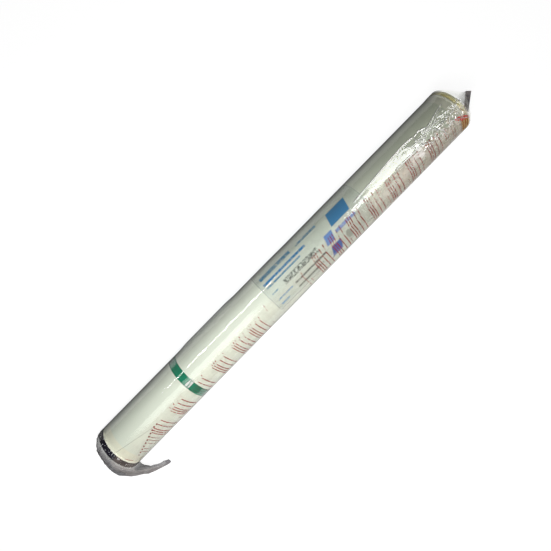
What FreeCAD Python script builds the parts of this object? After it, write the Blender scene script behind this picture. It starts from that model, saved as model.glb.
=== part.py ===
import FreeCAD
import Part
import math
import os

# Spiral-wound reverse osmosis membrane element, sealed in its clear film bag.
# The element lies along X. The end that carries the brine seal points to -X.
# Z is up, the origin is on the floor below the middle of the element, and sizes are in mm.

# Permeate tube
TUBE_RADIUS = 9.55
TUBE_WALL = 2.2
TUBE_STICK_OUT = 26.7
SLOT_LENGTH = 12.0
SLOT_WIDTH = 2.5
SLOT_PITCH = 150.0
SLOT_MARGIN = 60.0

# Body of the element
BODY_LENGTH = 962.6
LEAF_THICKNESS = 2.0
SPACER_THICKNESS = 2.0
CORE_WRAP_THICKNESS = 0.5
ROLL_RADIUS = 46.0
SHELL_THICKNESS = 3.0
LEAF_COUNT = 4

# End caps
LIP_WIDTH = 3.5
LIP_HEIGHT = 0.5
GROOVE_WIDTH = 9.5
SKIRT_UNDER_SHELL = 17.0
RIM_WALL = 4.5
HUB_WALL = 4.5
HUB_RECESS = 2.0
SPOKE_COUNT = 6
SPOKE_THICKNESS = 3.0
SPOKE_RECESS = 6.0

# Brine seal
SEAL_BASE = 4.5
SEAL_LIP = 1.3
SEAL_SIDE_GAP = 0.4
SEAL_RISE = 0.3

# Band and label
BAND_WIDTH = 18.0
BAND_FROM_SEAL_END = 196.6
SKIN_THICKNESS = 0.25
LABEL_LENGTH = 268.0
LABEL_FROM_SEAL_END = 431.8
LABEL_ARC = 168.0
LABEL_LEAN = -31.0
GLUE = 0.05

# Film bag
FILM = 0.4
BAG_SLACK = 0.2
BAG_PAST_CAP = 2.0
BASE_ANGLE = 40.0
BASE_FILLET = 10.0
SEAM_WIDTH = 10.0
SEAM_THICKNESS = 1.0
FOLDS_PER_QUARTER = 6
FOLDS_AT_BASE = 3

# Wide seam at the seal end, level: two straight arms that a round nose joins.
# Its corners are given from above, as x past the end of the permeate tube and y,
# both as multiples of the bag's radius.
WIDE_SEAM_BELOW_AXIS = 16.2
WIDE_SEAM_LEFT = (-0.198, 0.925)
WIDE_SEAM_CORNER = (1.775, -0.64)
WIDE_SEAM_TIP = (-1.473, -2.026)
WIDE_SEAM_RADIUS = 60.0

# Leaning seam at the other end. Its lowest and its highest place are given as x past the end
# of the permeate tube, y, and height over the element's axis, as multiples of the bag's radius.
LEANING_SEAM_LOW = (0.42, -0.5, -0.9)
LEANING_SEAM_HIGH = (0.19, 0.09, 0.59)
LEANING_SEAM_TURN = -45.0

X_AXIS = FreeCAD.Vector(1, 0, 0)
UP = FreeCAD.Vector(0, 0, 1)
ANGLE_TOLERANCE = 0.001
POINT_TOLERANCE = 1e-6
tube_end = BODY_LENGTH / 2 + TUBE_STICK_OUT
layer_pitch = LEAF_THICKNESS + SPACER_THICKNESS
step_angle = 360 / LEAF_COUNT
centre_offset = layer_pitch / (2 * math.sin(math.pi / LEAF_COUNT))
core_radius = TUBE_RADIUS + CORE_WRAP_THICKNESS
shell_radius = ROLL_RADIUS + SHELL_THICKNESS
lip_radius = shell_radius + LIP_HEIGHT
rim_radius = ROLL_RADIUS - RIM_WALL
hub_radius = TUBE_RADIUS + HUB_WALL
shell_start = LIP_WIDTH + GROOVE_WIDTH
cap_depth = shell_start + SKIRT_UNDER_SHELL
roll_length = BODY_LENGTH - 2 * cap_depth
seal_radius = lip_radius + SEAL_RISE
bag_radius = seal_radius + BAG_SLACK + FILM
axis_height = FILM + seal_radius


def at(x, y, z):
    """A point given from the element's own axis, moved up to where the element lies."""
    return FreeCAD.Vector(x, y, z + axis_height)


def rod(radius, start, end):
    """A solid rod round the element's axis, from start to end along X."""
    return Part.makeCylinder(radius, end - start, at(start, 0, 0), X_AXIS)


def ring(outer, inner, start, end):
    """A plain tube round the element's axis."""
    return rod(outer, start, end).cut(rod(inner, start, end))


def turned(profile):
    """A solid turned round the element's axis from (x, radius) corners."""
    corners = [at(x, 0, radius) for x, radius in profile]
    face = Part.Face(Part.makePolygon(corners + corners[:1]))
    return face.revolve(at(0, 0, 0), X_AXIS, 360)


def write(name, shape):
    """Writes one sub-part, and says how large it is."""
    shape.exportStep("parts/" + name + ".step")
    print(name, len(shape.Solids), "solid,", round(shape.Volume / 1000, 1), "cm3")


def permeate_tube():
    """The perforated tube that the leaves are wound on, and that the clean water leaves by."""
    tube = ring(TUBE_RADIUS, TUBE_RADIUS - TUBE_WALL, -tube_end, tube_end)
    steps = int((roll_length - 2 * SLOT_MARGIN) / SLOT_PITCH)
    for step in range(steps + 1):
        x = (step - steps / 2) * SLOT_PITCH
        slot = Part.makeBox(
            SLOT_LENGTH,
            SLOT_WIDTH,
            4 * TUBE_RADIUS,
            at(x - SLOT_LENGTH / 2, -SLOT_WIDTH / 2, -2 * TUBE_RADIUS),
        )
        slot.rotate(at(0, 0, 0), X_AXIS, 90 * (step % 2))
        tube = tube.cut(slot)
    return tube


def spiral_point(step, radius, turn):
    """A point on one arc of the spiral, turn degrees after the arc begins.

    The arcs of one step share a centre, and the centres are the corners of a small polygon.
    """
    to_centre = math.radians(step_angle * step + step_angle / 2 + 90)
    angle = math.radians(step_angle * step + turn)
    return at(
        -roll_length / 2,
        centre_offset * math.cos(to_centre) + radius * math.cos(angle),
        centre_offset * math.sin(to_centre) + radius * math.sin(angle),
    )


def spiral_arc(step, radius, sweep):
    """One arc of the spiral, over its first sweep degrees."""
    points = [spiral_point(step, radius, turn) for turn in (0, sweep / 2, sweep)]
    return Part.Arc(*points).toShape()


def sweep_inside_roll(radius):
    """Degrees that an arc runs before it meets the outside of the roll, up to a whole step."""
    half_step = math.radians(step_angle / 2)
    rise = (ROLL_RADIUS**2 - radius**2 - centre_offset**2) / (2 * radius * centre_offset)
    return math.degrees(half_step + math.asin(min(math.sin(half_step), rise)))


def wound_sheet(first_step, below, thickness):
    """One sheet of the roll, wound from the core outward in arcs of one step each.

    The leaves start one step apart round the core. Each step lifts a sheet by one pitch, so
    sheets side by side share the same arcs and lie on each other all the way round.
    """
    rise = layer_pitch / 2
    start = rise + math.sqrt(core_radius**2 - centre_offset**2 + rise**2)
    inner, outer = [], []
    sweep = step_angle
    while sweep > step_angle - ANGLE_TOLERANCE:
        step = first_step + len(inner)
        radius = start + len(inner) * layer_pitch
        sweep = sweep_inside_roll(radius + layer_pitch)
        inner.append(spiral_arc(step, radius + below, sweep))
        outer.append(spiral_arc(step, radius + below + thickness, sweep))
    root = Part.makeLine(outer[0].firstVertex().Point, inner[0].firstVertex().Point)
    end = Part.makeLine(inner[-1].lastVertex().Point, outer[-1].lastVertex().Point)
    outline = Part.Wire(Part.__sortEdges__(outer + [end] + inner + [root]))
    return Part.Face(outline).extrude(X_AXIS * roll_length)


def end_cap(side):
    """Cap that stops the roll from telescoping: a lip, a skirt under the shell, spokes, a hub."""
    profile = [
        (0, rim_radius),
        (0, lip_radius),
        (LIP_WIDTH, lip_radius),
        (LIP_WIDTH, ROLL_RADIUS),
        (cap_depth, ROLL_RADIUS),
        (cap_depth, rim_radius),
    ]
    face_x = BODY_LENGTH / 2
    cap = turned([(side * (face_x - depth), radius) for depth, radius in profile])
    hub_ends = sorted((side * (face_x - HUB_RECESS), side * (face_x - cap_depth)))
    cap = cap.fuse(ring(hub_radius, TUBE_RADIUS, *hub_ends))
    spoke_start = min(side * (face_x - SPOKE_RECESS), side * (face_x - cap_depth))
    middle_radius = (TUBE_RADIUS + hub_radius) / 2
    for number in range(SPOKE_COUNT):
        spoke = Part.makeBox(
            cap_depth - SPOKE_RECESS,
            SPOKE_THICKNESS,
            rim_radius + RIM_WALL / 2 - middle_radius,
            at(spoke_start, -SPOKE_THICKNESS / 2, middle_radius),
        )
        spoke.rotate(at(0, 0, 0), X_AXIS, 360 * number / SPOKE_COUNT)
        cap = cap.fuse(spoke)
    return cap.removeSplitter()


def brine_seal():
    """Rubber seal in the groove: a base against the shell, and a lip that opens to the feed."""
    front = LIP_WIDTH + SEAL_SIDE_GAP - BODY_LENGTH / 2
    back = shell_start - BODY_LENGTH / 2
    return turned(
        [
            (front, seal_radius),
            (back, seal_radius),
            (back, ROLL_RADIUS),
            (back - SEAL_BASE, ROLL_RADIUS),
            (back - SEAL_BASE, seal_radius - SEAL_LIP),
            (front, seal_radius - SEAL_LIP),
        ]
    )


def colour_band():
    """Coloured tape round the shell."""
    start = BAND_FROM_SEAL_END - BODY_LENGTH / 2
    inner = shell_radius + GLUE
    return ring(inner + SKIN_THICKNESS, inner, start, start + BAND_WIDTH)


def label():
    """Clear label lying on the shell, over the top and down both sides."""
    start = LABEL_FROM_SEAL_END - BODY_LENGTH / 2
    inner = shell_radius + GLUE
    corners = [
        at(start, 0, inner),
        at(start + LABEL_LENGTH, 0, inner),
        at(start + LABEL_LENGTH, 0, inner + SKIN_THICKNESS),
        at(start, 0, inner + SKIN_THICKNESS),
    ]
    edge = Part.Face(Part.makePolygon(corners + corners[:1]))
    edge.rotate(at(0, 0, 0), X_AXIS, LABEL_LEAN - LABEL_ARC / 2)
    return edge.revolve(at(0, 0, 0), X_AXIS, LABEL_ARC)


def arc_or_line(points):
    """An arc through three points, or a line where there are two."""
    if len(points) == 2:
        return Part.makeLine(*points)
    return Part.Arc(*points).toShape()


def round_point(x, angle, radius):
    """A point on the bag's round part, by its angle in degrees from +Y toward the top."""
    turn = math.radians(angle)
    return at(x, radius * math.cos(turn), radius * math.sin(turn))


def base_side(x, inset, side):
    """Slope and fillet from the round part down to the flat underside, on one side."""
    radius = bag_radius - inset
    fillet = BASE_FILLET - inset
    slope = math.radians(BASE_ANGLE)
    leave_y = radius * math.sin(slope)
    leave_z = axis_height - radius * math.cos(slope)
    corner_y = leave_y - (leave_z - inset) / math.tan(slope)
    tangent = fillet * math.tan(slope / 2)
    flat_y = corner_y - tangent
    bulge = slope / 2
    places = [
        (leave_y, leave_z),
        (corner_y + tangent * math.cos(slope), inset + tangent * math.sin(slope)),
        (flat_y + fillet * math.sin(bulge), inset + fillet * (1 - math.cos(bulge))),
        (flat_y, inset),
    ]
    return [FreeCAD.Vector(x, side * y, z) for y, z in places]


def bag_tube(half, inset):
    """Solid inside of the film tube over the body: round on top and flat where it lies."""
    right = base_side(-half, inset, -1)
    left = base_side(-half, inset, 1)
    top = round_point(-half, 90, bag_radius - inset)
    edges = [
        arc_or_line([left[0], top, right[0]]),
        arc_or_line(right[:2]),
        arc_or_line(right[1:]),
        arc_or_line([right[3], left[3]]),
        arc_or_line(left[:0:-1]),
        arc_or_line(left[1::-1]),
    ]
    return Part.Face(Part.Wire(edges)).extrude(X_AXIS * (2 * half))


def mirrored(points):
    """The same points on the other side of the middle, in the opposite order."""
    return [FreeCAD.Vector(point.x, -point.y, point.z) for point in reversed(points)]


def folds(x, inset):
    """Corners of the flat folds that the round film breaks into past a cap.

    They run from +Y over the top to -Y, and back to +Y along the underside.
    """
    radius = bag_radius - inset
    low = base_side(x, inset, 1)
    top_step = 90 / FOLDS_PER_QUARTER
    base_step = (90 - BASE_ANGLE) / FOLDS_AT_BASE
    top = [round_point(x, (n + 0.5) * top_step, radius) for n in range(FOLDS_PER_QUARTER)]
    base = [round_point(x, -(n + 0.5) * base_step, radius) for n in range(FOLDS_AT_BASE)]
    for number in range(FOLDS_PER_QUARTER - FOLDS_AT_BASE - 2):
        share = number / (FOLDS_PER_QUARTER - FOLDS_AT_BASE - 2)
        base.append(low[0] + (low[1] - low[0]) * share)
    base += [low[1], low[3]]
    return top + mirrored(top) + mirrored(base[::-1]) + base[::-1]


def wide_seam(inset, thickness):
    """Corners of the flattened bag along the wide seam, in the order that folds gives."""
    left, corner, tip = [
        at(-tube_end - past * bag_radius, y * bag_radius, -WIDE_SEAM_BELOW_AXIS)
        for past, y in (WIDE_SEAM_LEFT, WIDE_SEAM_CORNER, WIDE_SEAM_TIP)
    ]
    to_left = (left - corner).normalize()
    to_tip = (tip - corner).normalize()
    half = to_left.getAngle(to_tip) / 2
    centre = corner + (to_left + to_tip).normalize() * (WIDE_SEAM_RADIUS / math.sin(half))
    outward = (corner + to_left * (WIDE_SEAM_RADIUS / math.tan(half)) - centre).normalize()
    sideways = UP.cross(outward)
    steps = 2 * FOLDS_PER_QUARTER - 3
    line = []
    for step in range(steps + 1):
        turn = (math.pi - 2 * half) * step / steps
        spoke = outward * math.cos(turn) + sideways * math.sin(turn)
        line.append(centre + spoke * (WIDE_SEAM_RADIUS - inset))
    line.insert(0, line[0] + to_left * (left - line[0]).dot(to_left))
    line.append(line[-1] + to_tip * (tip - line[-1]).dot(to_tip))
    lift = UP * (thickness / 2)
    return [point + lift for point in line] + [point - lift for point in reversed(line)]


def leaning_seam(reach, thickness, trim):
    """Corners of the flattened bag along the leaning seam, in the order that folds gives."""
    turn = math.radians(LEANING_SEAM_TURN)
    out = FreeCAD.Vector(math.cos(turn), math.sin(turn), 0)
    left = UP.cross(out) * (thickness / 2)
    low, high = [
        at(tube_end + past * bag_radius, y * bag_radius, z * bag_radius) + out * reach
        for past, y, z in (LEANING_SEAM_LOW, LEANING_SEAM_HIGH)
    ]
    middle = (low + high) / 2
    half = (high - low) / 2
    half = half.normalize() * ((high - low).Length / 2 - trim)
    shares = [(2 * n + 1) / (2 * FOLDS_PER_QUARTER - 1) for n in range(FOLDS_PER_QUARTER)]
    left_top = [middle + left + half * share for share in shares]
    right_top = [middle - left + half * share for share in shares]
    right_base = [middle - left - half * share for share in shares]
    left_base = [middle + left - half * share for share in shares]
    return left_top + right_top[::-1] + right_base + left_base[::-1]


def folded_solid(outlines):
    """A solid of flat folds from outline to outline. The last outline is closed to an edge."""
    faces = [Part.Face(Part.makePolygon(outlines[0] + outlines[0][:1]))]
    for near, far in zip(outlines, outlines[1:]):
        for step in range(len(near)):
            first, second = near[step - 1], near[step]
            across, beside = far[step], far[step - 1]
            triangles = [[first, second, across], [first, across, beside]]
            if across.isEqual(beside, POINT_TOLERANCE):
                triangles.pop()
            faces += [Part.Face(Part.makePolygon(points + points[:1])) for points in triangles]
    solid = Part.makeSolid(Part.makeShell(faces))
    return solid if solid.Volume > 0 else solid.reversed()


def film_bag():
    """Clear bag: one tube of film with a flat welded seam at each end, hollow inside."""
    half = BODY_LENGTH / 2 + BAG_PAST_CAP
    seal_end = [folds(-half, 0), wide_seam(SEAM_WIDTH, SEAM_THICKNESS), wide_seam(0, 0)]
    far_end = [
        folds(half, 0),
        leaning_seam(0, SEAM_THICKNESS, 0),
        leaning_seam(SEAM_WIDTH, 0, 0),
    ]
    outside = bag_tube(half, 0).fuse([folded_solid(seal_end), folded_solid(far_end)])
    half -= FILM
    seal_end = [folds(-half, FILM), wide_seam(SEAM_WIDTH, 0)]
    far_end = [folds(half, FILM), leaning_seam(0, 0, FILM)]
    inside = bag_tube(half, FILM).fuse([folded_solid(seal_end), folded_solid(far_end)])
    return outside.cut(inside)


def main():
    os.makedirs("parts", exist_ok=True)
    write("permeate_tube", permeate_tube())
    write("core_wrap", ring(core_radius, TUBE_RADIUS, -roll_length / 2, roll_length / 2))
    for number in range(LEAF_COUNT):
        write(f"membrane_leaf_{number + 1}", wound_sheet(number, 0, LEAF_THICKNESS))
        spacer = wound_sheet(number, LEAF_THICKNESS, SPACER_THICKNESS)
        write(f"feed_spacer_{number + 1}", spacer)
    shell_half = BODY_LENGTH / 2 - shell_start
    write("shell_wrap", ring(shell_radius, ROLL_RADIUS, -shell_half, shell_half))
    write("seal_end_cap", end_cap(-1))
    write("far_end_cap", end_cap(1))
    write("brine_seal", brine_seal())
    write("colour_band", colour_band())
    write("label", label())
    write("film_bag", film_bag())


main()
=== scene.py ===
# %% [markdown]
# # A reverse osmosis membrane element in its clear film bag
# The element is a long roll in a glossy pale wrap, with a plastic cap at each end, a black
# seal, a green band and a clear label. It lies in a crumpled film bag with red line print.
# Everything is in the frame of the CAD part: X along the element, Z up, metres.

import math
from functools import reduce

import bpy
import numpy as np
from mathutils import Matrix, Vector


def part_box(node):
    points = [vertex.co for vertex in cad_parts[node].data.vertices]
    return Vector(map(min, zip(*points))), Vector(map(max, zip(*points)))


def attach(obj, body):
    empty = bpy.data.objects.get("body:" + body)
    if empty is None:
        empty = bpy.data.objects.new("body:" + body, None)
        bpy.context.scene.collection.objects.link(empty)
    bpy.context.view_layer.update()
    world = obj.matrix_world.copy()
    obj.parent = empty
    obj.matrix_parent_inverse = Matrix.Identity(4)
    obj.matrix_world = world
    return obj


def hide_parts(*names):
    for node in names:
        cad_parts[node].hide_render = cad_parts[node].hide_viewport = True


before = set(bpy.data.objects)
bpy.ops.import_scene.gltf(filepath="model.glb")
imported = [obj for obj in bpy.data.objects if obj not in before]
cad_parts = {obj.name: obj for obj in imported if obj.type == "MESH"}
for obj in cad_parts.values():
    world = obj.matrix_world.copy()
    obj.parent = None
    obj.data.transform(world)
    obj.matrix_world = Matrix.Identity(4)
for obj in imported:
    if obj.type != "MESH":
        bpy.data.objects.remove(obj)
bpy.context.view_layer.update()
MM = 0.001

shell_low, shell_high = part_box("shell_wrap")
cap_low, cap_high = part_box("seal_end_cap")
band_low, band_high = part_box("colour_band")
label_low, label_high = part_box("label")
far_cap_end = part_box("far_end_cap")[1].x
bag_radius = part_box("film_bag")[1].y

axis_height = (shell_low.z + shell_high.z) / 2
shell_radius = (shell_high.y - shell_low.y) / 2
lip_radius = (cap_high.y - cap_low.y) / 2
print("shell radius", round(shell_radius, 4), "axis height", round(axis_height, 4))

# %% [markdown]
# ## Camera
# The picture is taken from above, 0.9 m over the floor and close to the element's middle, so
# the ends are seen at a slant and the body narrows a little towards the far end. The camera
# is turned until the element runs from the lower left to the upper right.

# %% Camera
CAMERA_PLACE = (-0.01485, 0.02274, 0.91409)
CAMERA_TURN = (0.0404, -0.5162, -45.571)
CAMERA_LENS = 27.559

camera_data = bpy.data.cameras.new("camera")
camera_data.lens = CAMERA_LENS
camera_data.sensor_width = 36
camera = bpy.data.objects.new("camera", camera_data)
camera.location = CAMERA_PLACE
camera.rotation_euler = [math.radians(turn) for turn in CAMERA_TURN]
bpy.context.scene.collection.objects.link(camera)
bpy.context.scene.camera = camera
print("camera", CAMERA_PLACE, CAMERA_LENS)

# %% [markdown]
# ## Tools for meshes
# Every shown piece is a grid of rows of points. A closed grid joins its last column to its
# first. Cut cylinders would do for the plain pieces, but a grid keeps the faces even, and a
# piece can carry a UV map in real metres for its print.


# %% Objects and grids
def new_object(name, points, faces, uv=None):
    """A smooth mesh object on the CAD body, with an optional UV for each point."""
    mesh = bpy.data.meshes.new(name)
    mesh.from_pydata(np.asarray(points).tolist(), [], faces)
    mesh.polygons.foreach_set("use_smooth", [True] * len(mesh.polygons))
    if uv is not None:
        layer = mesh.uv_layers.new(name="metres")
        corners = np.empty(len(mesh.loops), np.int32)
        mesh.loops.foreach_get("vertex_index", corners)
        layer.data.foreach_set("uv", np.asarray(uv, np.float32)[corners].ravel())
    mesh.validate()
    mesh.update()
    made = bpy.data.objects.new(name, mesh)
    bpy.context.scene.collection.objects.link(made)
    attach(made, "root")
    print(name, len(mesh.polygons), "faces")
    return made


def grid_faces(rows, columns, closed=False, first=0, flip=False):
    """Quads of a grid whose points are numbered row by row from first."""
    faces = []
    for row in range(rows - 1):
        for column in range(columns if closed else columns - 1):
            a = first + row * columns + column
            b = first + row * columns + (column + 1) % columns
            quad = (a, b, b + columns, a + columns)
            faces.append(quad[::-1] if flip else quad)
    return faces


print("a 3 by 4 grid has", len(grid_faces(3, 4)), "faces")

# %% [markdown]
# ### Turned rings and places on the roll
# The caps, the seal, the wrap and the band are turned pieces. A closed profile goes round
# the element's axis, and the side on which its faces look outward follows from the sign of
# the profile's area. A place on the roll is given by x and by the distance round it.


# %% Turned rings and places on the roll
def turned(name, profile, steps=192):
    """A closed profile of (x, radius) turned round the element's axis."""
    profile = np.array(profile)
    x, radius = profile.T
    area = np.sum(x * np.roll(radius, -1) - np.roll(x, -1) * radius)
    angles = np.linspace(0, 2 * math.pi, steps, endpoint=False)
    points = [
        (x, radius * math.cos(angle), axis_height + radius * math.sin(angle))
        for x, radius in profile
        for angle in angles
    ]
    faces = grid_faces(len(profile) + 1, steps, closed=True, flip=area > 0)
    faces = [tuple(index % len(points) for index in face) for face in faces]
    return new_object(name, points, faces)


def on_roll(x, arc, radius):
    """Points on the roll: arc is the distance from the top line, positive towards -Y."""
    angle = np.asarray(arc) / shell_radius
    return np.stack(
        [
            np.broadcast_to(x, angle.shape),
            -radius * np.sin(angle),
            axis_height + radius * np.cos(angle),
        ],
        axis=-1,
    )


print("top line at z", round(float(on_roll(0, 0.0, shell_radius)[2]), 4))

# %% [markdown]
# ## Tools for shaders
# The materials are worked out from places and noise. A Value holds one socket of a node
# tree, and each sign between two values adds the math node that does it. Placing every node
# by hand would give the same trees, but a formula is easier to read and change.


# %% Values
def feed(value, socket):
    """Links a value to a socket, or sets a plain number or colour on it."""
    if isinstance(value, Value):
        value.tree.links.new(value.socket, socket)
    else:
        socket.default_value = value


def calc(operation, *values):
    """One math node, fed with values and plain numbers."""
    tree = next(value.tree for value in values if isinstance(value, Value))
    made = tree.nodes.new("ShaderNodeMath")
    made.operation = operation
    for value, socket in zip(values, made.inputs):
        feed(value, socket)
    return Value(tree, made.outputs[0])


def adds(operation):
    """A method that adds one math node."""
    return lambda *values: calc(operation, *values)


class Value:
    """One socket of a node tree. A sign between two values adds a math node."""

    def __init__(self, tree, socket):
        self.tree = tree
        self.socket = socket

    def __rsub__(self, other):
        return calc("SUBTRACT", other, self)

    __add__ = adds("ADD")
    __sub__ = adds("SUBTRACT")
    __mul__ = adds("MULTIPLY")
    __truediv__ = adds("DIVIDE")
    __pow__ = adds("POWER")
    __gt__ = adds("GREATER_THAN")
    __lt__ = adds("LESS_THAN")
    at_least = adds("MAXIMUM")
    at_most = adds("MINIMUM")
    wave = adds("SINE")


print("class", Value.__name__)

# %% [markdown]
# ### Groups
# An effect that several materials share is a node group with named inputs. It gives a mask
# or a tone, and each material decides what to do with it.


# %% Groups
def new_group(name, inputs, output):
    """A shader node group with named inputs and one named output."""
    tree = bpy.data.node_groups.new(name, "ShaderNodeTree")
    for title, kind, value in inputs:
        made = tree.interface.new_socket(title, in_out="INPUT", socket_type=kind)
        if value is not None:
            made.default_value = value
    tree.interface.new_socket(output, in_out="OUTPUT", socket_type="NodeSocketFloat")
    start = tree.nodes.new("NodeGroupInput").outputs
    inside = {title: Value(tree, start[title]) for title, kind, value in inputs}
    print("group", name)
    return tree, inside, tree.nodes.new("NodeGroupOutput").inputs[0]


def use_group(group, **values):
    """The group as a node, fed by the names of its inputs."""
    tree = next(value.tree for value in values.values() if isinstance(value, Value))
    made = tree.nodes.new("ShaderNodeGroup")
    made.node_tree = group
    for title, value in values.items():
        feed(value, made.inputs[title])
    return Value(tree, made.outputs[0])


print("groups so far", len(bpy.data.node_groups))

# %% [markdown]
# ### Places, noise and colours
# Places come from the object's own metres, or from the UV map where a print has to follow
# the piece. Noise at a place gives what is uneven, and a mask mixes two colours.


# %% Places, noise and colours
def object_place(tree):
    """Object coordinates, which are the frame's own metres."""
    return Value(tree, tree.nodes.new("ShaderNodeTexCoord").outputs["Object"])


def uv_place(tree):
    """The piece's own UV, in metres along and round it."""
    made = tree.nodes.new("ShaderNodeUVMap")
    made.uv_map = "metres"
    return Value(tree, made.outputs[0])


def split(place):
    """The x, y and z of a place."""
    made = place.tree.nodes.new("ShaderNodeSeparateXYZ")
    feed(place, made.inputs[0])
    return [Value(place.tree, socket) for socket in made.outputs]


def noise(place, scale, detail=3.0):
    """Smooth noise at a place, from 0 to 1."""
    made = place.tree.nodes.new("ShaderNodeTexNoise")
    made.inputs["Scale"].default_value = scale
    made.inputs["Detail"].default_value = detail
    feed(place, made.inputs["Vector"])
    return Value(place.tree, made.outputs[0])


def mix_colour(factor, first, second):
    """A colour between two, each a value or an (r, g, b)."""
    made = factor.tree.nodes.new("ShaderNodeMix")
    made.data_type = "RGBA"
    sockets = [socket for socket in made.inputs if socket.enabled]
    for socket, value in zip(sockets, (factor, first, second)):
        feed((*value, 1) if isinstance(value, tuple) else value, socket)
    return Value(factor.tree, next(socket for socket in made.outputs if socket.enabled))


print("places, noise and colours ready")

# %% [markdown]
# ### Materials
# Each material keeps its own Principled shader. Plastics and papers are never one even
# colour, so a helper lets a slow noise move a colour between two shades.


# %% Materials
def new_material(name, colour, roughness=0.5, **settings):
    """A Principled material with its tree and its shader node."""
    made = bpy.data.materials.new(name)
    made.use_nodes = True
    tree = made.node_tree
    shader = tree.nodes["Principled BSDF"]
    shader.inputs["Base Color"].default_value = (*colour, 1)
    shader.inputs["Roughness"].default_value = roughness
    for title, value in settings.items():
        shader.inputs[title.replace("_", " ")].default_value = value
    return made, tree, shader


def uneven_material(name, colour, dark, light, roughness, scale):
    """A material whose colour moves slowly between two shades."""
    made, tree, shader = new_material(name, colour, roughness)
    tone = noise(object_place(tree), scale)
    feed(mix_colour(tone, dark, light), shader.inputs["Base Color"])
    return made


def set_material(made, material):
    """Gives an object one material."""
    made.data.materials.clear()
    made.data.materials.append(material)


print("materials so far", len(bpy.data.materials))

# %% [markdown]
# ### The strip group
# It rises from 0 to 1 over Edge at Start and falls back over Edge at End. The same group
# draws the lines of the bag's print, the bars of the label and the cream ends of the wrap.

# %% The strip group
strip, inside, outside = new_group(
    "strip",
    [
        ("Value", "NodeSocketFloat", None),
        ("Start", "NodeSocketFloat", 0.0),
        ("End", "NodeSocketFloat", 1.0),
        ("Edge", "NodeSocketFloat", 0.001),
    ],
    "Mask",
)
rise = (inside["Value"] - inside["Start"]) / inside["Edge"]
fall = (inside["End"] - inside["Value"]) / inside["Edge"]
feed(rise.at_most(fall).at_most(1.0).at_least(0.0), outside)


def between(value, start, end, edge):
    """1 where a value lies from start to end."""
    return use_group(strip, Value=value, Start=start, End=end, Edge=edge)


def around(value, middle, reach, edge):
    """1 where a value lies within reach of a middle."""
    return between(value, middle - reach, middle + reach, edge)


# %% [markdown]
# ### The fibre group
# The wrap is glass fibre wound round the roll in clear resin. Seen close, fine lines run
# round it at a small lean, with slow changes of tone. The group gives both as one value.

# %% The fibre group
fibre, inside, outside = new_group(
    "fibre",
    [
        ("Place", "NodeSocketVector", None),
        ("Lines", "NodeSocketFloat", 900.0),
        ("Lean", "NodeSocketFloat", 0.12),
    ],
    "Tone",
)
x, y, z = split(inside["Place"])
fine_lines = ((x + y * inside["Lean"]) * inside["Lines"]).wave()
feed(fine_lines * 0.03 + noise(inside["Place"], 9.0, 2.0), outside)

# %% [markdown]
# ## Inner pieces
# The roll, its core and the tube are hidden by the wrap and show only at the ends, between
# the spokes. They keep their CAD meshes, with plain materials that differ in colour as
# membrane backing, spacer net and moulded tube do. The net's threads are two crossed waves,
# because real threads would be far too many faces for a piece that is hardly seen.

# %% Inner pieces
NET_WAVES = 2100.0
leaf = uneven_material("leaf", (0.85, 0.83, 0.76), (0.8, 0.78, 0.7), (0.9, 0.88, 0.82), 0.7, 60.0)
tube = uneven_material("tube", (0.75, 0.76, 0.73), (0.7, 0.71, 0.68), (0.8, 0.81, 0.78), 0.35, 30.0)

net, tree, shader = new_material("net", (0.75, 0.76, 0.74), 0.5)
x, y, z = split(object_place(tree))
threads = ((x + y) * NET_WAVES).wave().at_least(((x - y) * NET_WAVES).wave()) > 0.6
feed(mix_colour(threads, (0.45, 0.46, 0.45), (0.82, 0.83, 0.82)), shader.inputs["Base Color"])

for node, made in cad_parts.items():
    if node.startswith("membrane_leaf"):
        set_material(made, leaf)
    elif node.startswith("feed_spacer") or node == "core_wrap":
        set_material(made, net)
set_material(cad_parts["permeate_tube"], tube)
print("inner materials set")

# %% [markdown]
# ## End caps
# Each cap is cream plastic. Its outer lip, its skirt, its spokes and its hub are the CAD
# node. Inside the lip its colour is darker, painted shade for the light lost between the
# walls. A second lip closes the groove towards the wrap. It is small, but it draws a bright
# line in the picture, so it is added here as a turned ring with bevelled corners.

# %% End caps
CAP_CREAM = (0.80, 0.77, 0.50)
CAP_SHADE_PAINTED = (0.74, 0.68, 0.34)
DEEP_START = 30 * MM
DEEP_END = 48.5 * MM
LIP = 3.5 * MM
BEVEL = 0.4 * MM
WRAP_THICKNESS = 3 * MM
GAP = 0.1 * MM

cap, tree, shader = new_material("cap", CAP_CREAM, 0.3)
x, y, z = split(object_place(tree))
from_axis = calc("SQRT", y**2.0 + (z - axis_height) ** 2.0)
# Painted shade: a darker colour inside the lip, between its walls
lip_shade_painted = between(from_axis, DEEP_START, DEEP_END, 0.6 * MM)
feed(mix_colour(lip_shade_painted, CAP_CREAM, CAP_SHADE_PAINTED), shader.inputs["Base Color"])

lip_cream = uneven_material(
    "lip", (0.86, 0.86, 0.74), (0.82, 0.82, 0.68), (0.90, 0.90, 0.79), 0.25, 45.0
)
groove_floor = shell_radius - WRAP_THICKNESS + GAP
for node, edge, inward in (("seal_end_cap", shell_low.x, -1), ("far_end_cap", shell_high.x, 1)):
    set_material(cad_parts[node], cap)
    lip = turned(
        node + "_inner_lip",
        [
            (edge, groove_floor),
            (edge, lip_radius - BEVEL),
            (edge + inward * BEVEL, lip_radius),
            (edge + inward * (LIP - BEVEL), lip_radius),
            (edge + inward * LIP, lip_radius - BEVEL),
            (edge + inward * LIP, groove_floor),
        ],
    )
    set_material(lip, lip_cream)

# %% [markdown]
# ## Brine seal
# A rubber cup seal: a base in the groove, and a lip that leans out over the cap's own lip
# to the end of the element. The flared lip is why the picture shows black outermost. It is
# a turned profile with rounded corners, because rubber shows its highlights on them.

# %% Brine seal
groove_start = shell_low.x - LIP
end_x = cap_low.x

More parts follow.
